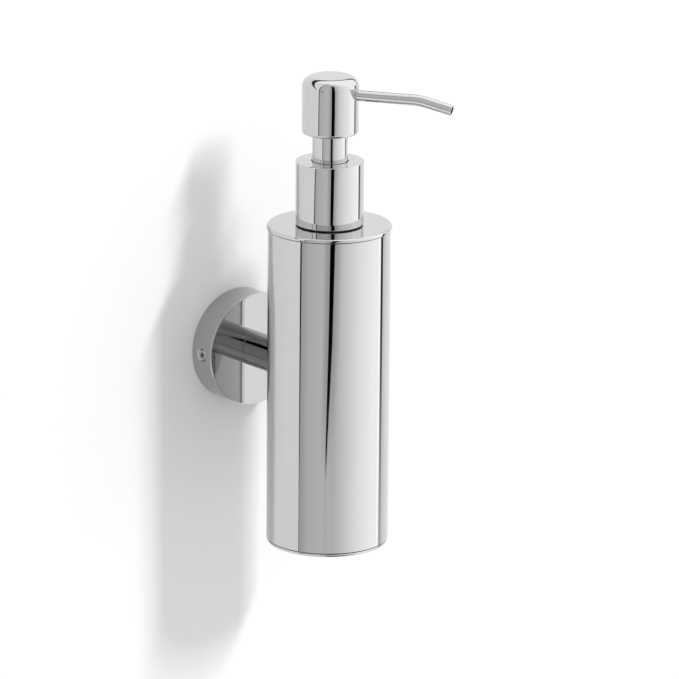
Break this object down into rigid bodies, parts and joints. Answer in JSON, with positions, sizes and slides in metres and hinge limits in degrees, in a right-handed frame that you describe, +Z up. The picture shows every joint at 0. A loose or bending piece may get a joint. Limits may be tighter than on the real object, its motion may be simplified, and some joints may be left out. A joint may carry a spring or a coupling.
{
  "type": "wall mounted soap dispenser",
  "caption": "Upright cylindrical bottle held off the wall by a round arm and rosette, with a screw collar and a push pump head whose slim spout droops at its end.",
  "frame": {"origin": "centre of the wall rosette on the wall plane", "axes": "+Z up, +Y into the wall; the bottle stands out from the wall along -Y"},
  "size_m": [0.0614, 0.1139, 0.2154],
  "materials": {
    "polished_chrome": "mirror polished chrome plate",
    "bracket_zinc": "turned and zinc plated",
    "fastener_steel": "stainless steel, satin",
    "spring_steel": "stainless steel, drawn or ground",
    "container_plastic": "natural polyethylene",
    "pump_plastic": "moulded, satin",
    "seal_plastic": "soft polyethylene",
    "black_rubber": "matt",
    "black_plastic": "moulded, satin"
  },
  "bodies": {
    "mounted_bottle": {"wall_bracket": "bracket_zinc", "rosette": "polished_chrome", "rosette_grub_screw": "fastener_steel", "arm": "polished_chrome", "arm_rear_bolt": "fastener_steel", "arm_rear_washer": "fastener_steel", "arm_saddle": "bracket_zinc", "arm_front_bolt": "fastener_steel", "body_sleeve": "polished_chrome", "lid_disc": "polished_chrome", "base_disc": "polished_chrome", "inner_container": "container_plastic", "lid_seal": "black_rubber"},
    "pump_unit": {"pump_housing": "pump_plastic", "pump_guide": "pump_plastic", "neck_gasket": "black_rubber", "dip_tube": "container_plastic", "return_spring": "spring_steel"},
    "collar": {"collar_shell": "polished_chrome", "collar_insert": "pump_plastic", "collar_bush": "black_plastic"},
    "plunger": {"stem": "pump_plastic", "piston": "seal_plastic"},
    "pump_head": {"head_shell": "polished_chrome", "head_core": "black_plastic", "neck_sleeve": "polished_chrome", "spout": "polished_chrome"},
    "inlet_valve": {"suction_ball": "spring_steel"}
  },
  "joints": [
    {"name": "pump_lift", "type": "slide", "parent": "mounted_bottle", "child": "pump_unit", "axis": [0, 0, 1], "range_m": [0, 0.006]},
    {"name": "collar_turn", "type": "hinge", "parent": "pump_unit", "child": "collar", "pos_m": [0, -0.066, 0.0849], "axis": [0, 0, 1], "range_deg": [0, 720]},
    {"name": "pump_stroke", "type": "slide", "parent": "pump_unit", "child": "plunger", "axis": [0, 0, -1], "range_m": [0, 0.0115], "stiffness_N_per_m": 800, "springref_m": -0.006, "deforming": ["return_spring"]},
    {"name": "head_swivel", "type": "hinge", "parent": "plunger", "child": "pump_head", "pos_m": [0, -0.066, 0.12], "axis": [0, 0, 1], "continuous": true},
    {"name": "inlet_valve_lift", "type": "slide", "parent": "pump_unit", "child": "inlet_valve", "axis": [0, 0, 1], "range_m": [0, 0.0012]}
  ],
  "couplings": [
    {"joint": "collar_turn", "follows": "pump_lift", "rad_per_m": 2094.4}
  ]
}
